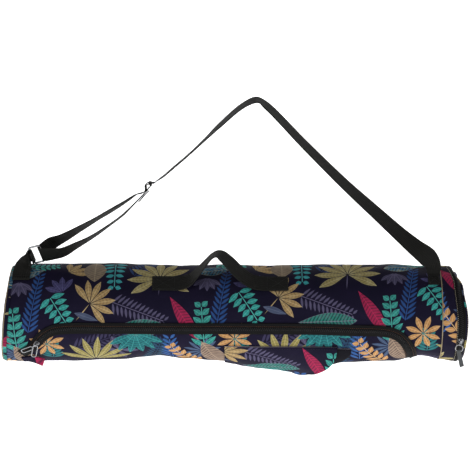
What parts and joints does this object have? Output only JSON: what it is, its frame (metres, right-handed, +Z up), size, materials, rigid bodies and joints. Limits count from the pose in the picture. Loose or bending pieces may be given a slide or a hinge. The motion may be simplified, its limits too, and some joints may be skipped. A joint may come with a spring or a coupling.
{
  "type": "yoga mat bag",
  "caption": "Long round bag for a rolled yoga mat, of leaf-printed cloth, with a long front zip, a zipped round end, a carrying handle and an adjustable shoulder strap.",
  "frame": {"origin": "on top of the shoulder strap's crest, where it hangs from a hook, over the middle of the web", "axes": "+Z up; +X along the bag, from the closed panel with the ring to the zipped round end; -Y towards the side with the long zip and the handle"},
  "size_m": [0.6972, 0.1536, 0.4203],
  "materials": {
    "printed_cloth": "matte cotton canvas with a dense printed leaf pattern on dark navy",
    "webbing": "matte black woven webbing",
    "zip_tape": "black zip tape with closed coil teeth",
    "bright_metal": "nickel-plated, smooth",
    "soft_pull": "soft matte grey"
  },
  "bodies": {
    "root": {"body_tube": "printed_cloth", "left_panel": "printed_cloth", "end_band": "printed_cloth", "right_cap": "printed_cloth", "pocket_patch": "printed_cloth", "corner_tab": "printed_cloth", "end_zip": "zip_tape", "main_zip": "zip_tape", "handle": "webbing", "shoulder_strap": "webbing", "strap_tail": "webbing", "ring_tab": "webbing", "tab_loop": "webbing", "strap_ring": "bright_metal", "tri_glide": "bright_metal", "main_slider": "bright_metal", "front_pull": "bright_metal", "side_pull": "bright_metal", "end_slider": "bright_metal", "end_pull_ring": "bright_metal", "end_pull_tab": "soft_pull"}
  },
  "joints": []
}
